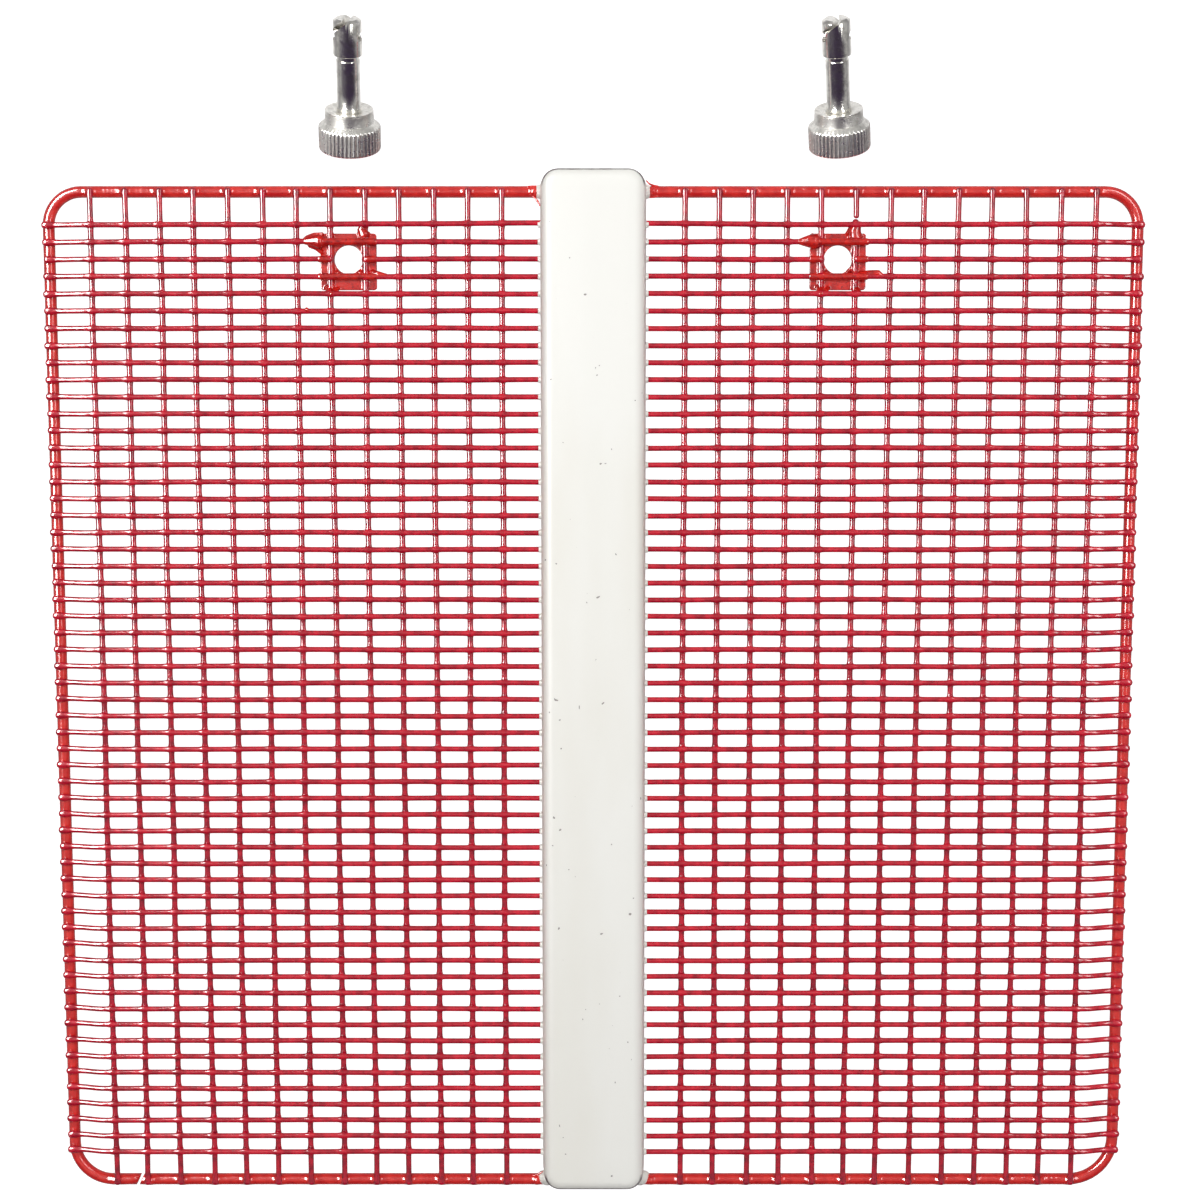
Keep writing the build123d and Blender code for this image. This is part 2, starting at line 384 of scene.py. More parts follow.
def makeWave(rng, size):
    # a slow drift and a quicker ripple, so no wire is perfectly straight
    waves = [(size, rng.uniform(0.16, 0.24), rng.uniform(0, 6.3)),
             (size * 0.5, rng.uniform(0.05, 0.08), rng.uniform(0, 6.3))]
    return lambda s: sum(a * math.sin(2 * math.pi * s / length + phase) for a, length, phase in waves)


# cross wires
crossSet = {
    "flare": 0.34,            # extra half width at a weld, as a share of the wire radius
    "flareReach": 1.15 * mm,
    "droop": 0.45 * mm,
    "wander": 0.10 * mm,
    "overhang": 1.0 * mm,
    "endFlare": 0.45,
}
weldOffsets = [o * mm for o in (-2.3, -1.5, -0.8, 0, 0.8, 1.5, 2.3)]
outerUprightX = max(uprightXs)
dipHighX = outerUprightX + 3 * mm
dipLowX = sideRodX - 3 * mm


def crossWireZ(x):
    share = min(1, max(0, (abs(x) - dipHighX) / (dipLowX - dipHighX)))
    share = share * share * (3 - 2 * share)
    return crossZ + (uprightZ - crossZ) * share


def crossStations(y, startX, endX, rng, wave):
    marks = [x + o for x in uprightXs for o in weldOffsets]
    marks += [(a + b) / 2 for a, b in zip(uprightXs, uprightXs[1:])]
    marks += [side * (dipHighX + k * 2 * mm) for side in (-1, 1) for k in range(6)]
    marks += [side * (sideRodX + o) for side in (-1, 1) for o in weldOffsets[:4]]
    marks += [k * 9 * mm for k in (-3, -2, -1, 0, 1, 2, 3)]
    marks = [x for x in marks if startX + 0.2 * mm < x < endX - 0.2 * mm]
    stations = []
    for x in sorted(marks + [startX, endX]):
        weld = max(bell(x - u, crossSet["flareReach"]) for u in uprightXs)
        atRod = bell(abs(x) - sideRodX, 2 * crossSet["flareReach"])
        width = wireRadius * (1.02 + crossSet["flare"] * weld + crossSet["endFlare"] * atRod)
        height = wireRadius * (0.96 + 0.10 * weld + 0.12 * atRod)
        centre = Vector((x, y + wave(x), crossWireZ(x)))
        stations.append((centre, yAxis * -1, width, height, crossSet["droop"] * max(weld, atRod)))
    return roundEnds(stations, xAxis)


def crossWave(row, rng):
    ripple = makeWave(rng, crossSet["wander"])
    if row > 0:
        return ripple
    # the first wire rises towards the channel
    return lambda x: ripple(x) + 0.5 * mm * bell(x, 60 * mm)


rng = random.Random(11)
fullRows = [row for row in range(crossCount) if row != cutRow]
wireEndX = sideRodX + crossSet["overhang"]
for group in range(7):
    verts, faces = [], []
    for row in fullRows[group * 8:group * 8 + 8]:
        reach = [wireEndX + rng.uniform(-0.4, 0.0) * mm for _ in range(2)]
        addTube(verts, faces, crossStations(crossY(row), -reach[0], reach[1], rng, crossWave(row, rng)))
    addPiece(f"crossWires{group + 1:02d}", verts, faces, wireRed, "red_enamel", "grille",
             f"cross_wires_{group + 1:02d}")

for part in ("left", "middle", "right"):
    low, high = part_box(f"cut_wire_{part}")
    verts, faces = [], []
    stations = crossStations(cutWireY, low.x + tipInset, high.x - tipInset, rng, crossWave(cutRow, rng))
    addTube(verts, faces, stations)
    addPiece(f"cutWire{part.capitalize()}", verts, faces, wireRed, "red_enamel", "grille",
             f"cut_wire_{part}")
print("cross wires made")

# upright wires
uprightSet = {
    "flare": 0.36,
    "flareReach": 1.15 * mm,
    "footFlare": 0.22,
    "footReach": 1.5 * mm,
    "wander": 0.14 * mm,
    "lean": 0.35 * mm,
}


def uprightStations(x, lowY, highY, rng):
    wave = makeWave(rng, uprightSet["wander"])
    lean = rng.uniform(-1, 1) * uprightSet["lean"]
    marks = [crossY(row) + o for row in range(crossCount) for o in weldOffsets]
    marks += [crossY(row) + crossPitch / 2 for row in range(crossCount)]
    marks += [y + o for y in (topRodY, bottomRodY) for o in weldOffsets]
    marks += [topRodY - 5 * mm, bottomRodY + 5 * mm]
    marks = [y for y in marks if lowY + 0.2 * mm < y < highY - 0.2 * mm]
    stations = []
    for y in sorted(marks + [lowY, highY]):
        row = min(crossCount - 1, max(0, round((firstCrossY - y) / crossPitch)))
        weld = bell(y - crossY(row), uprightSet["flareReach"])
        foot = max(bell(y - topRodY, uprightSet["footReach"]), bell(y - bottomRodY, uprightSet["footReach"]))
        width = wireRadius * (1.08 + uprightSet["flare"] * weld + uprightSet["footFlare"] * foot)
        height = wireRadius * (0.96 + 0.10 * foot)
        centre = Vector((x + wave(y) + lean * y / topRodY, y, uprightZ))
        stations.append((centre, xAxis, width, height, 0.5 * mm * foot))
    return roundEnds(stations, yAxis)


for side in ("left", "right"):
    for number in range(1, uprightCount + 1):
        node = uprightNode(side, number)
        low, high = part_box(node)
        verts, faces = [], []
        stations = uprightStations(middleOf(node).x, low.y + tipInset, high.y - tipInset, rng)
        addTube(verts, faces, stations)
        addPiece(f"upright{side.capitalize()}{number:02d}", verts, faces, uprightRedShaded, "red_enamel",
                 "grille", node)

verts, faces = [], []
stubStations = uprightStations(middleOf("upright_stub").x, stubLow.y + tipInset, stubHigh.y - tipInset, rng)
addTube(verts, faces, stubStations)
addPiece("uprightStub", verts, faces, uprightRedShaded, "red_enamel", "grille", "upright_stub")
print("uprights made")

# frame rod: one loop with a slanted open butt joint in the bottom run
rodSet = {
    "topCorner": 12.5 * mm,
    "bottomLeftCorner": 15 * mm,
    "bottomRightCorner": 17 * mm,
    "jointFromLeft": 25.5 * mm,   # from the left side rod's centre
    "jointGap": 1.2 * mm,
    "jointSlant": 26,
    "jointBlend": 6 * mm,         # how far from the joint its slant fades out
    "step": 3 * mm,
    "fineStep": 0.4 * mm,         # on the top and bottom runs, where the enamel pools
    "cornerSteps": 12,
    "wobble": 0.02,
    "footPool": 1.35 * mm,        # height of the enamel pooled round each foot
    "footPoolReach": 1.6 * mm,
    "wallPool": 0.9 * mm,         # and of the pool by the channel
    "wallPoolOut": 2.4 * mm,
    "wallPoolReach": 1.3 * mm,
}


def poolLift(x):
    feet = max(bell(x - u, rodSet["footPoolReach"]) for u in uprightXs)
    wall = bell(abs(x) - channelHalfX - rodSet["wallPoolOut"], rodSet["wallPoolReach"])
    return max(feet * rodSet["footPool"], wall * rodSet["wallPool"])


def rodPath():
    jointX = -sideRodX + rodSet["jointFromLeft"]
    corners = [
        (Vector((sideRodX, bottomRodY, 0)), rodSet["bottomRightCorner"], 0),
        (Vector((sideRodX, topRodY, 0)), rodSet["topCorner"], 90),
        (Vector((-sideRodX, topRodY, 0)), rodSet["topCorner"], 180),
        (Vector((-sideRodX, bottomRodY, 0)), rodSet["bottomLeftCorner"], 270),
    ]
    points = [Vector((jointX + rodSet["jointGap"] / 2, bottomRodY, 0))]
    for corner, radius, heading in corners:
        ahead = Vector((math.cos(math.radians(heading)), math.sin(math.radians(heading)), 0))
        left = Vector((-ahead.y, ahead.x, 0))
        start = corner - ahead * radius
        run = start - points[-1]
        step = rodSet["step"] if abs(ahead.x) < 0.5 else rodSet["fineStep"]
        steps = max(1, round(run.length / step))
        points += [points[-1] + run * (k / steps) for k in range(1, steps)]
        centre = start + left * radius
        for k in range(rodSet["cornerSteps"] + 1):
            turn = math.radians(90 / rodSet["cornerSteps"] * k)
            points.append(centre - left * (radius * math.cos(turn)) + ahead * (radius * math.sin(turn)))
    end = Vector((jointX - rodSet["jointGap"] / 2, bottomRodY, 0))
    run = end - points[-1]
    steps = max(1, round(run.length / rodSet["step"]))
    points += [points[-1] + run * (k / steps) for k in range(1, steps + 1)]
    return points


def buildRod():
    points = rodPath()
    rng = random.Random(5)
    verts, faces, stations = [], [], []
    for i, point in enumerate(points):
        ahead = points[min(i + 1, len(points) - 1)] - points[max(i - 1, 0)]
        outward = Vector((ahead.y, -ahead.x, 0)).normalized()
        radius = rodRadius * (1 - rodSet["wobble"] * rng.random())
        stations.append((point + zAxis * rodRadius, outward, radius, radius, 0))
    addTube(verts, faces, stations, 20)
    slope = math.tan(math.radians(rodSet["jointSlant"]))
    jointX = -sideRodX + rodSet["jointFromLeft"]
    for vert in verts:
        rise = (vert.z - rodRadius) / rodRadius
        if rise > 0 and min(abs(vert.y - topRodY), abs(vert.y - bottomRodY)) < 1.2 * rodRadius:
            vert.z += poolLift(vert.x) * rise
        away = abs(vert.x - jointX)
        if away < rodSet["jointBlend"] and vert.y < bottomRodY + 2 * rodRadius:
            vert.x += slope * (vert.y - bottomRodY) * (1 - away / rodSet["jointBlend"])
    addPiece("frameRod", verts, faces, rodRed, "red_enamel", "grille", "frame_rod")


buildRod()
print("frame rod made")


# fused lumps: several closed shapes run together as thick enamel does
def fuse(name, verts, faces, material, slot, voxel, *nodes):
    piece = addPiece(name, verts, faces, material, slot, "grille", *nodes)
    remesh = piece.modifiers.new("fuse", "REMESH")
    remesh.mode = "VOXEL"
    remesh.voxel_size = voxel
    smooth = piece.modifiers.new("soften", "SMOOTH")
    smooth.factor = 0.5
    smooth.iterations = 3
    graph = bpy.context.evaluated_depsgraph_get()
    fused = bpy.data.meshes.new_from_object(piece.evaluated_get(graph))
    piece.modifiers.clear()
    piece.data = fused
    fused.shade_smooth()


def addRun(verts, faces, points, radii, sides=12):
    # a tapering run of enamel along a few points, with domed ends
    stations = []
    for i, point in enumerate(points):
        ahead = (points[min(i + 1, len(points) - 1)] - points[max(i - 1, 0)]).normalized()
        sideways = ahead.cross(zAxis).normalized()
        stations.append((point, sideways, radii[i], radii[i], 0))
    direction = (points[-1] - points[0]).normalized()
    addTube(verts, faces, roundEnds(stations, direction), sides)


tabSet = {
    "wireCoat": 1.26,             # coat over the cross wires on the tab, in wire radii
    "uprightCoat": 1.12,
    "cutBack": 7.2 * mm,          # from the hole's centre to the cut wire's ends
    "voxel": 0.24 * mm,
    "holeRadius": 5.3 * mm,
}


def addPlate(verts, faces, low, high, hole, holeRadius, steps=96):
    # a square plate with a round hole: rings of the same count, outside and inside
    start = len(verts)
    halfX, halfY = (high.x - low.x) / 2, (high.y - low.y) / 2
    centre = (low + high) / 2
    for z in (low.z, high.z):
        for k in range(steps):
            angle = 2 * math.pi * (k + 0.5) / steps
            c, s = math.cos(angle), math.sin(angle)
            reach = 1 / max(abs(c) / halfX, abs(s) / halfY)
            verts.append(Vector((centre.x + c * reach, centre.y + s * reach, z)))
        for k in range(steps):
            angle = 2 * math.pi * (k + 0.5) / steps
            verts.append(Vector((hole.x + holeRadius * math.cos(angle),
                                 hole.y + holeRadius * math.sin(angle), z)))
    outLow, inLow, outHigh, inHigh = (start + steps * k for k in range(4))
    for k in range(steps):
        n = (k + 1) % steps
        faces.append((outHigh + k, outHigh + n, inHigh + n, inHigh + k))
        faces.append((outLow + n, outLow + k, inLow + k, inLow + n))
        faces.append((outLow + k, outLow + n, outHigh + n, outHigh + k))
        faces.append((inLow + n, inLow + k, inHigh + k, inHigh + n))


# runs of enamel on each tab, in millimetres from the hole: points, then radii
tabRuns = {
    "left": [
        ([(-10.5, 6.4, 7.0), (-13.2, 6.6, 7.2), (-16.8, 6.5, 7.3)], (2.6, 1.9, 0.9)),
        ([(-9.5, 9.4, 5.4), (-12.5, 9.3, 6.6), (-15.2, 8.3, 7.1), (-16.6, 6.7, 7.3)], (0.7, 0.6, 0.55, 0.7)),
        ([(-10.0, 2.6, 4.6), (-11.8, 4.2, 6.0), (-14.2, 5.0, 7.0)], (0.8, 0.9, 0.8)),
        ([(6.2, 9.0, 5.2), (5.2, 11.0, 5.6), (6.4, 13.6, 6.2)], (2.4, 1.7, 1.2)),
        ([(4.4, 9.6, 4.4), (6.4, 12.2, 5.8)], (1.2, 1.3)),
        ([(9.0, -5.6, 6.0), (11.5, -5.9, 7.0), (14.8, -6.3, 7.4)], (2.0, 1.5, 0.9)),
        ([(-8.6, -10.2, 4.6), (-7.2, -11.6, 6.2), (-6.4, -12.6, 7.2)], (0.8, 1.3, 1.5)),
        ([(-4.0, -10.8, 5.0), (-5.4, -12.2, 6.6)], (0.8, 1.2)),
        ([(3.6, -4.6, 4.8), (6.2, -5.8, 5.6)], (0.7, 1.2)),
        ([(-3.6, -4.8, 4.8), (-6.2, -5.8, 5.6)], (0.7, 1.2)),
        ([(-15.6, -18.6, 8.0), (-15.0, -19.0, 8.2)], (0.9, 0.7)),
    ],
    "right": [
        ([(-9.0, 6.6, 6.6), (-11.5, 6.6, 7.2), (-15.6, 6.4, 7.4)], (2.9, 2.3, 0.9)),
        ([(-9.4, 9.0, 4.6), (-11.0, 7.6, 6.2)], (1.0, 1.3)),
        ([(6.4, 8.0, 5.0), (6.0, 10.5, 5.4), (6.6, 13.0, 6.4)], (2.6, 2.4, 1.7)),
        ([(3.4, 9.4, 4.2), (5.0, 11.6, 5.6)], (0.9, 1.4)),
        ([(9.0, -6.2, 5.6), (12.2, -5.4, 6.8), (14.8, -5.2, 7.2), (16.4, -6.3, 7.3)], (2.0, 1.5, 1.3, 0.9)),
        ([(-7.0, -9.8, 4.6), (-6.6, -12.4, 6.8)], (1.4, 1.7)),
        ([(-3.4, -10.4, 4.6), (-5.4, -12.6, 6.8)], (0.7, 1.2)),
        ([(6.2, -10.0, 4.8), (7.4, -12.4, 6.8)], (1.2, 1.4)),
        ([(3.8, -4.4, 4.6), (5.6, -2.0, 4.6), (6.2, -5.6, 5.6)], (0.8, 0.9, 1.3)),
        ([(-3.6, -4.8, 4.8), (-6.2, -5.8, 5.6)], (0.8, 1.2)),
    ],
}


def tabHole(side):
    mount = next(m for m in frame["record"]["mounts"] if m["name"] == f"{side}_tab_hole")
    return Vector(mount["pos_m"])


def buildTab(side):
    verts, faces = [], []
    low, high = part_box(f"{side}_tab")
    hole = tabHole(side)
    addPlate(verts, faces, low, high, hole, tabSet["holeRadius"])
    coat = wireRadius * tabSet["wireCoat"]
    for row, parts in ((1, ((low.x, high.x),)), (3, ((low.x, high.x),)),
                       (2, ((low.x, hole.x - tabSet["cutBack"]), (hole.x + tabSet["cutBack"], high.x)))):
        for startX, endX in parts:
            points = [Vector((startX + (endX - startX) * k / 4, crossY(row), crossZ - 0.1 * mm))
                      for k in range(5)]
            addRun(verts, faces, points, [coat * (1.08 if row == 1 else 1.0)] * 5)
    for x in [u for u in uprightXs if abs(u - hole.x) < 8 * mm]:
        points = [Vector((x, low.y + (high.y - low.y) * k / 4, uprightZ - 0.35 * mm)) for k in range(5)]
        addRun(verts, faces, points, [wireRadius * tabSet["uprightCoat"]] * 5)
    for points, radii in tabRuns[side]:
        places = [Vector((hole.x + x * mm, hole.y + y * mm, z * mm)) for x, y, z in points]
        addRun(verts, faces, places, [r * mm for r in radii])
    fuse(f"{side}Tab", verts, faces, coatRed, "red_enamel", tabSet["voxel"], f"{side}_tab")


buildTab("left")
buildTab("right")
print("tabs made")

# centre channel: pressed sheet, open at the back, notched over every cross wire
channelSet = {
    "draft": 4.0,
    "edgeRadius": 4.0 * mm,
    "endRadius": 6.0 * mm,
    "sheet": 1.0 * mm,
    "notchHalf": 1.15 * mm,
    "notchRun": 0.15 * mm,
    "bendSteps": 9,
    "cornerSteps": 8,
    "endSteps": 5,
    "endClear": 7 * mm,           # the long sides' straight stretch stops this far from each end
    "creaseAngle": 50,
}


def channelLoop(halfX, lowY, highY, corner, level, stations):
    # one closed loop round the channel; level(y) gives its height along the long sides
    steps = channelSet["cornerSteps"]

    def longSide(out, marks):
        return [Vector((out * halfX, y, level(y))) for y in marks]

    def cornerTurn(out, up, marks):
        endY = highY if up > 0 else lowY
        angles = [math.pi / 2 * k / steps for k in marks]
        return [Vector((out * (halfX - corner + corner * math.cos(angle)),
                        endY - up * corner + up * corner * math.sin(angle), level(endY))) for angle in angles]

    def acrossEnd(out, endY):
        count = channelSet["endSteps"]
        return [Vector((out * (halfX - corner) * (1 - 2 * k / (count - 1)), endY, level(endY)))
                for k in range(count)]

    rising, falling = range(1, steps), range(steps - 1, 0, -1)
    points = longSide(1, stations)
    points += cornerTurn(1, 1, rising) + acrossEnd(1, highY) + cornerTurn(-1, 1, falling)
    points += longSide(-1, reversed(stations))
    points += cornerTurn(-1, -1, rising) + acrossEnd(-1, lowY) + cornerTurn(1, -1, falling)
    return points


def buildChannel():
    low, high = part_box("centre_channel")
    slope = math.tan(math.radians(channelSet["draft"]))
    edge, sheet = channelSet["edgeRadius"], channelSet["sheet"]
    notchTop = crossZ + wireRadius + 0.1 * mm
    half, run = channelSet["notchHalf"], channelSet["notchRun"]
    rims = {}
    for row in range(crossCount):
        y = crossY(row)
        for offset, z in ((-half - run, low.z), (-half, notchTop), (half, notchTop), (half + run, low.z)):
            rims[round(y + offset, 7)] = z
    stations = sorted(rims)
    first, last = low.y + channelSet["endClear"], high.y - channelSet["endClear"]
    stations = [y for y in stations if first < y < last]
    stations = [first] + stations + [last]

    def rimLevel(y):
        return rims.get(round(y, 7), low.z)

    def flatLevel(z):
        return lambda y: z

    def loopAt(z, inset, level=None):
        # inset is how far inside the outer skin this loop runs
        flare = (z - low.z) * slope + inset
        corner = channelSet["endRadius"] + (high.z - z) * slope - inset
        return channelLoop(high.x - flare, low.y + flare, high.y - flare, max(corner, 0.8 * mm),
                           level or flatLevel(z), stations)

    loops = [loopAt(low.z, 0, rimLevel), loopAt(notchTop + 0.5 * mm, 0)]
    bendStart = high.z - edge
    loops += [loopAt((notchTop + bendStart) / 2, 0), loopAt(bendStart, 0)]
    for k in range(1, channelSet["bendSteps"] + 1):
        angle = math.pi / 2 * k / channelSet["bendSteps"]
        z = bendStart + edge * math.sin(angle)
        loops.append(loopAt(z, edge * (1 - math.cos(angle))))
    outerTop = len(loops) - 1
    innerEdge = edge - sheet
    for k in range(channelSet["bendSteps"], 0, -1):
        angle = math.pi / 2 * k / channelSet["bendSteps"]
        z = bendStart + innerEdge * math.sin(angle)
        loops.append(loopAt(z, sheet + innerEdge * (1 - math.cos(angle))))
    loops += [loopAt(bendStart, sheet), loopAt(notchTop + 0.5 * mm, sheet), loopAt(low.z, sheet, rimLevel)]

    verts = [v for loop in loops for v in loop]
    count = len(loops[0])
    faces = []
    for i in range(len(loops) - 1):
        if i == outerTop:
            continue
        for k in range(count):
            n = (k + 1) % count
            faces.append((i * count + k, i * count + n, (i + 1) * count + n, (i + 1) * count + k))
    base = (len(loops) - 1) * count
    for k in range(count):
        n = (k + 1) % count
        faces.append((base + k, base + n, n, k))

    # the flat front and its back, as strips from one long side to the other
    sideCount = len(stations)
    turnCount = 2 * (channelSet["cornerSteps"] - 1) + channelSet["endSteps"]
    leftFirst = sideCount + turnCount
    for loopIndex, flip in ((outerTop, False), (outerTop + 1, True)):
        start = loopIndex * count
        strips = []
        for k in range(sideCount - 1):
            right, left = start + k, start + leftFirst + sideCount - 1 - k
            strips.append((right, right + 1, left - 1, left))
        strips.append(tuple(start + k for k in range(sideCount - 1, leftFirst + 1)))
        strips.append(tuple(start + k % count for k in range(leftFirst + sideCount - 1, count + 1)))
        faces += [tuple(reversed(s)) for s in strips] if flip else strips
    piece = addPiece("centreChannel", verts, faces, channelCream, "cream_enamel", "grille",
                     "centre_channel")
    piece.data.set_sharp_from_angle(angle=math.radians(channelSet["creaseAngle"]))


buildChannel()

# where the rods and wires meet the channel the cream paint has run over the red
seamSet = {
    "cream": 2.75 * mm,
    "voxel": 0.22 * mm,
    "redVoxel": 0.16 * mm,
    "bottomInward": 0.95 * mm,    # keeps the bottom lumps inside the rod's outline
    "sleeve": 0.85 * mm,
    "sleeveRadius": 1.12,         # in wire radii
}

# thin runs of red at the rod ends: millimetres out from the wall and up from the rod's centre
redRuns = {
    ("left", "top"): [([(4.6, 1.7), (3.0, 1.9), (1.4, 2.0)], (0.5, 0.42, 0.3)),
                      ([(3.0, -1.5), (1.8, -2.5), (0.7, -4.0), (0.1, -5.4)], (0.6, 0.42, 0.45, 0.25))],
    ("right", "top"): [([(4.4, 1.7), (2.6, 2.2), (1.2, 2.8), (0.0, 4.0)], (0.6, 0.45, 0.36, 0.25)),
                       ([(4.2, -1.7), (2.8, -2.0), (1.4, -2.2)], (0.5, 0.4, 0.28))],
    ("left", "bottom"): [([(4.0, 1.6), (2.4, 2.1), (1.2, 3.0), (0.2, 3.8)], (0.6, 0.45, 0.36, 0.25)),
                         ([(3.8, -1.3), (2.0, -1.45), (0.3, -1.5)], (0.5, 0.45, 0.4))],
    ("right", "bottom"): [([(3.6, 1.5), (1.8, 1.9), (0.3, 2.2)], (0.5, 0.4, 0.28)),
                          ([(3.8, -1.2), (1.6, -1.4), (0.2, -1.5)], (0.5, 0.45, 0.4))],
}


def buildSeams():
    low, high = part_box("centre_channel")
    verts, faces = [], []
    for x in (low.x, high.x):
        out = 1 if x > 0 else -1
        for y in (bottomRodY, topRodY):
            inward = seamSet["bottomInward"] if y < 0 else 0
            points = [Vector((x + out * d * mm, y + inward, rodRadius + lift * mm))
                      for d, lift in ((-1.5, 1.2), (-0.4, 1.0), (0.3, 0.7))]
            addRun(verts, faces, points, [seamSet["cream"] * k for k in (1.12, 1.06, 0.96)])
    fuse("channelSeams", verts, faces, channelCream, "cream_enamel", seamSet["voxel"])
    verts, faces = [], []
    for (side, end), runs in redRuns.items():
        out = 1 if side == "right" else -1
        rodY = topRodY if end == "top" else bottomRodY
        for marks, radii in runs:
            points = [Vector((out * (high.x + away * mm), rodY + up * mm,
                              rodRadius + (0.6 + abs(up) * 0.35) * mm)) for away, up in marks]
            addRun(verts, faces, points, [r * mm for r in radii])
    fuse("redRuns", verts, faces, rodRed, "red_enamel", seamSet["redVoxel"])
    # a short sleeve of cream on every cross wire, at both walls
    verts, faces = [], []
    radius = wireRadius * seamSet["sleeveRadius"]
    for row in range(crossCount):
        for out in (-1, 1):
            start = Vector((out * (high.x - 0.8 * mm), crossY(row), crossZ))
            end = Vector((out * (high.x + seamSet["sleeve"]), crossY(row), crossZ))
            stations = [(start.lerp(end, k / 3), yAxis * -out, radius * grow, radius * grow, 0)
                        for k, grow in enumerate((1.3, 1.2, 1.08, 1.0))]
            addTube(verts, faces, stations)
    addPiece("wireSleeves", verts, faces, channelCream, "cream_enamel", "grille")


buildSeams()
print("channel made")

# fasteners, each built along its own axis from the outer face of the head
fastenerSet = {
    "headRadius": 11.4 * mm,
    "headRound": 0.9 * mm,
    "fluteEnd": 9.1 * mm,
    "fluteCount": 44,
    "fluteDepth": 0.42 * mm,
    "shoulderEnd": 10.65 * mm,
    "shoulderRadius": 9.1 * mm,
    "collarRadius": 8.85 * mm,
    "rim": 0.7 * mm,
    "collarEnd": 15.1 * mm,
    "dishRadius": 8.3 * mm,
    "dishDepth": 0.6 * mm,
    "footRadius": 4.5 * mm,
    "footEnd": 16.0 * mm,
    "shankRadius": 4.3 * mm,
    "shankEnd": 33.6 * mm,
    "grooveRadius": 4.0 * mm,
    "grooveEnd": 34.95 * mm,
    "barrelRadius": 5.3 * mm,
    "barrelEnd": 40.4 * mm,
    "leadRadius": 5.15 * mm,
    "length": 48.55 * mm,
    "tipChamfer": 0.9 * mm,
    "tipRadius": 3.95 * mm,
    "slotWidth": 2.65 * mm,
    "slotDepth": 6.15 * mm,
    "detentRadius": 1.57 * mm,
    "detentSpread": 20,           # degrees between the three cuts that widen the detent outwards
    "printHalf": 1.32 * mm,
    "printDepth": 4.8 * mm,
    "knobCrease": 32,
    "studCrease": 25,
}


def fastenerPlace(side):
    joint = next(j for j in frame["joints"] if j["name"] == f"{side}_fastener_turn")
    axis = Vector(joint["axis"]).normalized()
    sideways = axis.cross(zAxis).normalized()
    across = axis.cross(sideways)
    turn = Matrix((sideways, across, axis)).transposed().to_4x4()
    return Matrix.Translation(Vector(joint["pos_m"])) @ turn


def lathe(profile, steps, shape=None):
    # profile is a list of (distance along the axis, radius, flute share); ends closed on the axis
    verts, faces = [], []
    for along, radius, flute in profile:
        for k in range(steps):
            angle = 2 * math.pi * k / steps
            r = radius - (shape(angle) * flute if shape and flute else 0)
            verts.append(Vector((r * math.cos(angle), r * math.sin(angle), along)))
    for i in range(len(profile) - 1):
        for k in range(steps):
            n = (k + 1) % steps
            faces.append((i * steps + k, i * steps + n, (i + 1) * steps + n, (i + 1) * steps + k))
    faces.append(tuple(reversed(range(steps))))
    last = (len(profile) - 1) * steps
    faces.append(tuple(last + k for k in range(steps)))
    return verts, faces


def buildKnob(side):
    s = fastenerSet
    r, end, rounding = s["headRadius"], s["fluteEnd"], s["headRound"]
    shoulder, shoulderRadius = s["shoulderEnd"], s["shoulderRadius"]
    top, collar = s["collarEnd"], s["collarRadius"]
    rim, dish = top - s["rim"], top - s["dishDepth"]
    profile = [(0.25 * mm, r - 3.6 * mm, 0), (0.05 * mm, r - 2.4 * mm, 0), (0, r - rounding - 0.3 * mm, 0)]
    for k in range(1, 6):
        turn = math.pi / 2 * k / 5
        profile.append((rounding * (1 - math.cos(turn)), r - rounding * (1 - math.sin(turn)), k / 5))
    profile += [
        (end * 0.4, r, 1), (end * 0.75, r, 1), (end - 0.55 * mm, r, 1),
        (end - 0.25 * mm, r - 0.06 * mm, 0.85), (end - 0.05 * mm, r - 0.25 * mm, 0.4),
        (end + 0.1 * mm, r - 0.5 * mm, 0), (shoulder - 0.15 * mm, shoulderRadius + 0.22 * mm, 0),
        (shoulder, shoulderRadius, 0), (shoulder + 0.2 * mm, shoulderRadius - 0.04 * mm, 0),
        (rim - 0.1 * mm, collar, 0), (rim, collar - 0.12 * mm, 0), (rim + 0.1 * mm, collar, 0),
        (top - 0.15 * mm, collar, 0), (top, collar - 0.15 * mm, 0),
        (top, s["dishRadius"], 0), (dish, s["footRadius"] + 0.2 * mm, 0),
        (dish - 0.2 * mm, s["footRadius"] - 0.1 * mm, 0),
    ]

    def flutes(angle):
        wave = 0.5 - 0.5 * math.cos(s["fluteCount"] * angle)
        return s["fluteDepth"] * wave ** 1.5

    verts, faces = lathe(profile, s["fluteCount"] * 8, flutes)
    place = fastenerPlace(side)
    verts = [place @ v for v in verts]
    piece = addPiece(f"{side}Knob", verts, faces, knobNickel, "nickel_plate", f"{side}_fastener",
                     f"{side}_fastener_knob")
    piece.data.set_sharp_from_angle(angle=math.radians(s["knobCrease"]))


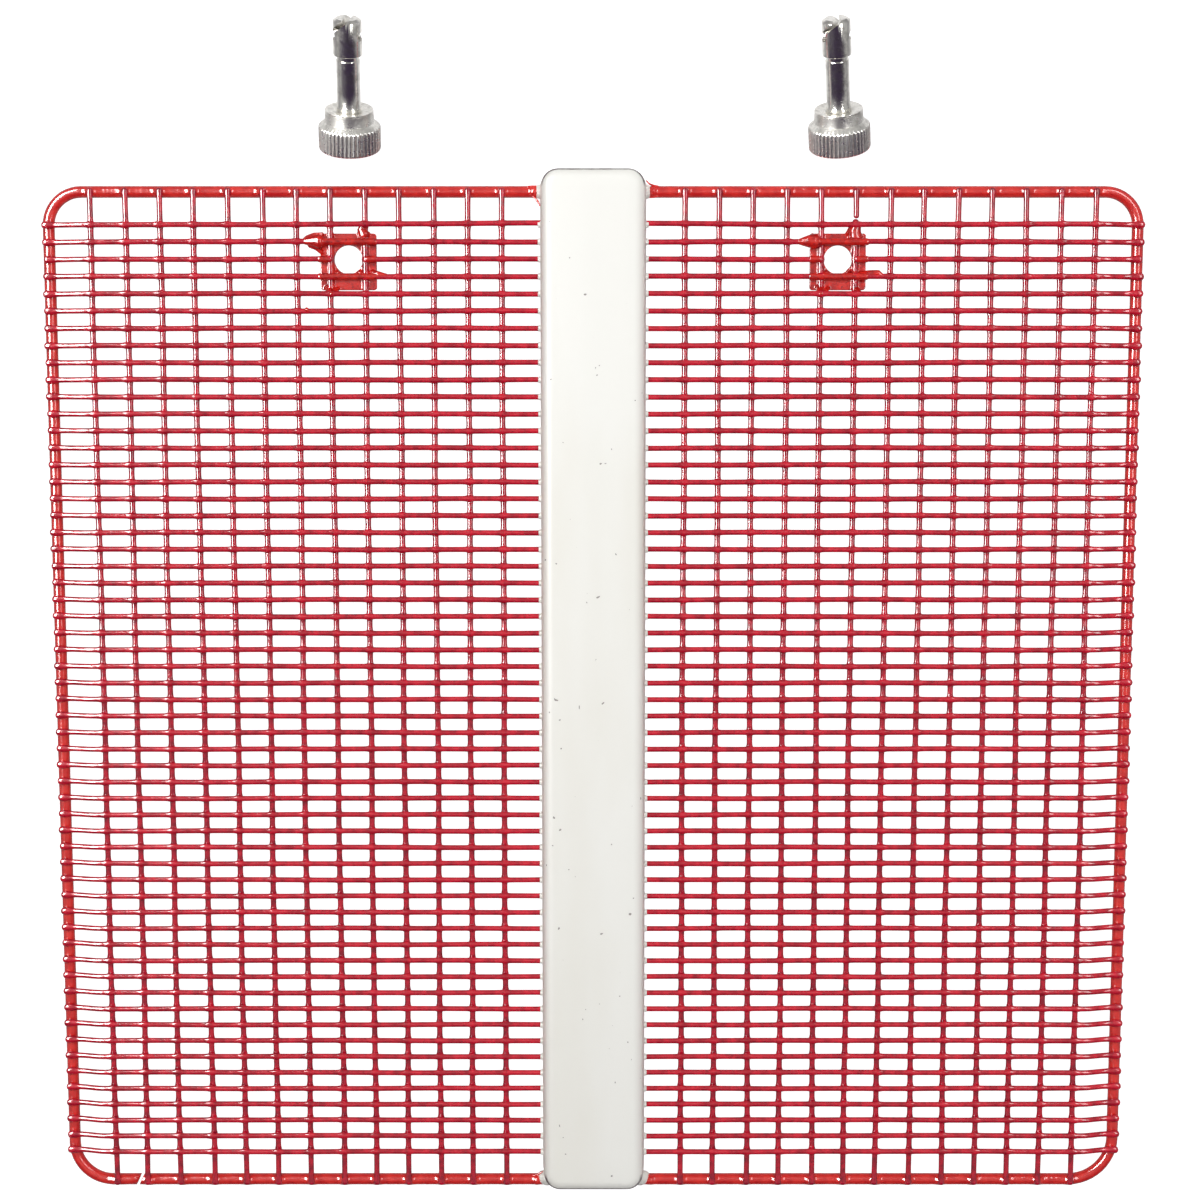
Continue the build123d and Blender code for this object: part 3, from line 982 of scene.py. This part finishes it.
def slotCutter():
    # a flat bar that turns a quarter of a turn between the tip and the detent
    s = fastenerSet
    verts, faces = [], []
    steps = 28
    halfWidth, halfLength = s["slotWidth"] / 2, s["barrelRadius"] * 1.3
    for i in range(steps + 1):
        down = s["slotDepth"] * i / steps
        along = s["length"] - down + (0.6 * mm if i == 0 else 0)
        turn = Matrix.Rotation(math.radians(-90 * i / steps), 4, "Z")
        for x, y in ((-1, -1), (1, -1), (1, 1), (-1, 1)):
            verts.append(turn @ Vector((x * halfWidth, y * halfLength, 0)) + zAxis * along)
    for i in range(steps):
        a = 4 * i
        for k in range(4):
            n = (k + 1) % 4
            faces.append((a + k, a + 4 + k, a + 4 + n, a + n))
    faces.append((0, 1, 2, 3))
    faces.append(tuple(4 * steps + k for k in (3, 2, 1, 0)))
    return verts, faces


def detentCutter(spread):
    s = fastenerSet
    steps, reach = 32, s["barrelRadius"] * 1.5
    turn = Matrix.Rotation(math.radians(spread), 3, "Z")
    verts, faces = [], []
    for x in (-reach, reach):
        for k in range(steps):
            angle = 2 * math.pi * k / steps
            verts.append(turn @ Vector((x, s["detentRadius"] * math.cos(angle),
                                        s["length"] - s["slotDepth"] + s["detentRadius"] * math.sin(angle))))
    for k in range(steps):
        n = (k + 1) % steps
        faces.append((k, n, steps + n, steps + k))
    faces.append(tuple(reversed(range(steps))))
    faces.append(tuple(steps + k for k in range(steps)))
    return verts, faces


def notchPrint():
    # a wedge whose faces look inwards: it takes no metal away, and only prints a notch's edges on the barrel
    s = fastenerSet
    verts = []
    reach = s["barrelRadius"] * 1.3
    top, bottom = s["length"] + 0.5 * mm, s["length"] - s["printDepth"]
    for y in (-reach, reach):
        for x, z in ((-s["printHalf"], top), (s["printHalf"], top),
                     (0.45 * mm, bottom), (0.15 * mm, bottom)):
            verts.append(Vector((x, y, z)))
    faces = [(0, 1, 2, 3), (7, 6, 5, 4)]
    faces += [(k, k + 4, (k + 1) % 4 + 4, (k + 1) % 4) for k in range(4)]
    return verts, faces


def cutAway(piece, verts, faces):
    mesh = bpy.data.meshes.new("cutter")
    mesh.from_pydata(verts, [], faces)
    cutter = bpy.data.objects.new("cutter", mesh)
    bpy.context.scene.collection.objects.link(cutter)
    cut = piece.modifiers.new("cut", "BOOLEAN")
    cut.operation = "DIFFERENCE"
    cut.solver = "EXACT"
    cut.object = cutter
    graph = bpy.context.evaluated_depsgraph_get()
    piece.data = bpy.data.meshes.new_from_object(piece.evaluated_get(graph))
    piece.modifiers.clear()
    bpy.data.objects.remove(cutter)


def buildStud(side):
    s = fastenerSet
    barrel, end, groove = s["barrelRadius"], s["length"], s["grooveEnd"]
    foot, shank = s["footEnd"], s["shankRadius"]
    profile = [
        (s["collarEnd"] - s["dishDepth"], s["footRadius"] - 0.05 * mm, 0),
        (s["collarEnd"] - 0.1 * mm, s["footRadius"], 0), (foot - 0.2 * mm, s["footRadius"], 0),
        (foot, s["footRadius"] - 0.1 * mm, 0), (foot + 0.25 * mm, shank, 0),
        (foot + 6 * mm, shank, 0), (foot + 12 * mm, shank, 0),
        (s["shankEnd"] - 0.2 * mm, shank, 0), (s["shankEnd"], shank - 0.1 * mm, 0),
        (s["shankEnd"] + 0.1 * mm, s["grooveRadius"], 0), (groove - 0.1 * mm, s["grooveRadius"], 0),
        (groove, s["grooveRadius"] + 0.25 * mm, 0), (groove + 0.4 * mm, barrel - 0.12 * mm, 0),
        (groove + 0.55 * mm, barrel, 0), (s["barrelEnd"], barrel, 0),
        (end - s["tipChamfer"] - 0.1 * mm, s["leadRadius"] + 0.01 * mm, 0),
        (end - s["tipChamfer"] + 0.05 * mm, s["leadRadius"] - 0.06 * mm, 0),
        (end - 0.06 * mm, s["tipRadius"] + 0.06 * mm, 0), (end, s["tipRadius"] - 0.04 * mm, 0),
    ]
    verts, faces = lathe(profile, 96)
    piece = addPiece(f"{side}Stud", verts, faces, studNickel, "nickel_plate", f"{side}_fastener",
                     f"{side}_fastener_stud")
    cutAway(piece, *slotCutter())
    cutAway(piece, *notchPrint())
    for spread in (-s["detentSpread"], 0, s["detentSpread"]):
        cutAway(piece, *detentCutter(spread))
    piece.data.transform(fastenerPlace(side))
    piece.data.shade_smooth()
    piece.data.set_sharp_from_angle(angle=math.radians(s["studCrease"]))


for side in ("left", "right"):
    buildKnob(side)
    buildStud(side)
print("fasteners made")

# floor and light
lightSet = {
    "sky": 0.42,
    "skyDark": (0.035, 0.022, 0.05),
    "darkFrom": -0.36,            # share of the way towards the bottom of the grille
    "darkTo": -0.50,
}
floorSet = {
    "half": 2,
    "drop": 0.2 * mm,
    "colour": (0.3, 0.3, 0.31),
    "seen": 1.0,
    "glossy": 0.08,
    "nearFastener": 0.55,
    "bounce": 0.30,
    "aboveFastener": 20 * mm,
    "fastenerReach": 75 * mm,
}
softboxes = {
    "keyBox": {"place": (0, 0.30, 1.15), "aim": (0, 0, 0), "size": (1.0, 0.6), "watts": 9.4,
               "lights": "diffuse"},
    "leftStrip": {"place": (-0.84, 0.45, 0.90), "aim": (-0.84, 0.45, 0), "size": (0.64, 1.18), "watts": 85,
                  "lights": "glossy"},
    "rightStrip": {"place": (0.66, 0.45, 0.90), "aim": (0.66, 0.45, 0), "size": (0.24, 1.18), "watts": 9,
                   "lights": "glossy"},
}


def buildFloor():
    half, drop = floorSet["half"], floorSet["drop"]
    verts = [(x * half, y * half, -drop) for x, y in ((-1, -1), (1, -1), (1, 1), (-1, 1))]
    mesh = bpy.data.meshes.new("floor")
    mesh.from_pydata(verts, [], [(0, 1, 2, 3)])
    floor = bpy.data.objects.new("floor", mesh)
    bpy.context.scene.collection.objects.link(floor)
    material, nodes, links, shader = newMaterial("paleFloor")
    shader.inputs["Base Color"].default_value = (*floorSet["colour"], 1)
    shader.inputs["Roughness"].default_value = 0.9
    shader.inputs["Specular IOR Level"].default_value = 0.0
    shader.inputs["Emission Color"].default_value = (1, 1, 1, 1)
    rays = nodes.new("ShaderNodeLightPath")
    place = nodes.new("ShaderNodeTexCoord")
    glow = floorSet["glossy"]
    # painted light: the floor glows brighter in a patch near each fastener, seen only in reflections on the
    # nickel
    for side in ("left", "right"):
        low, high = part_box(f"{side}_fastener_stud")
        away = nodes.new("ShaderNodeVectorMath")
        away.operation = "DISTANCE"
        links.new(place.outputs["Object"], away.inputs[0])
        away.inputs[1].default_value = ((low.x + high.x) / 2, high.y + floorSet["aboveFastener"], 0)
        near = rangeNode(nodes, links, away.outputs["Value"], floorSet["nearFastener"], 0,
                         floorSet["fastenerReach"] * 0.55, floorSet["fastenerReach"])
        glow = mathNode(nodes, links, "ADD", near, glow)
    glossy = mathNode(nodes, links, "MULTIPLY", rays.outputs["Is Glossy Ray"], glow)
    seen = mathNode(nodes, links, "MULTIPLY", rays.outputs["Is Camera Ray"], floorSet["seen"])
    bounce = mathNode(nodes, links, "MULTIPLY", rays.outputs["Is Diffuse Ray"], floorSet["bounce"])
    direct = mathNode(nodes, links, "ADD", glossy, seen)
    total = mathNode(nodes, links, "ADD", direct, bounce)
    links.new(total, shader.inputs["Emission Strength"])
    floor.data.materials.append(material)


def addSoftbox(name, box):
    data = bpy.data.lights.new(name, "AREA")
    data.shape = "RECTANGLE"
    data.size, data.size_y = box["size"]
    data.energy = box["watts"]
    lamp = bpy.data.objects.new(name, data)
    lamp.location = box["place"]
    towards = Vector(box["aim"]) - Vector(box["place"])
    lamp.rotation_euler = towards.to_track_quat("-Z", "Y").to_euler()
    lamp.visible_camera = False
    lamp.visible_diffuse = box["lights"] == "diffuse"
    lamp.visible_glossy = box["lights"] == "glossy"
    bpy.context.scene.collection.objects.link(lamp)


def buildSky():
    # an even pale tent with a dark opening beyond the bottom of the grille
    world = bpy.data.worlds.new("studio")
    bpy.context.scene.world = world
    world.use_nodes = True
    nodes, links = world.node_tree.nodes, world.node_tree.links
    background = nodes["Background"]
    place = nodes.new("ShaderNodeTexCoord")
    split = nodes.new("ShaderNodeSeparateXYZ")
    links.new(place.outputs["Generated"], split.inputs["Vector"])
    dark = rangeNode(nodes, links, split.outputs["Y"], 1, 0, lightSet["darkTo"], lightSet["darkFrom"])
    sky = nodes.new("ShaderNodeMix")
    sky.data_type = "RGBA"
    links.new(dark, sky.inputs["Factor"])
    sky.inputs["A"].default_value = (lightSet["sky"],) * 3 + (1,)
    sky.inputs["B"].default_value = (*lightSet["skyDark"], 1)
    links.new(sky.outputs["Result"], background.inputs["Color"])
    background.inputs["Strength"].default_value = 1.0


buildSky()
buildFloor()
for name, box in softboxes.items():
    addSoftbox(name, box)
print("light set")
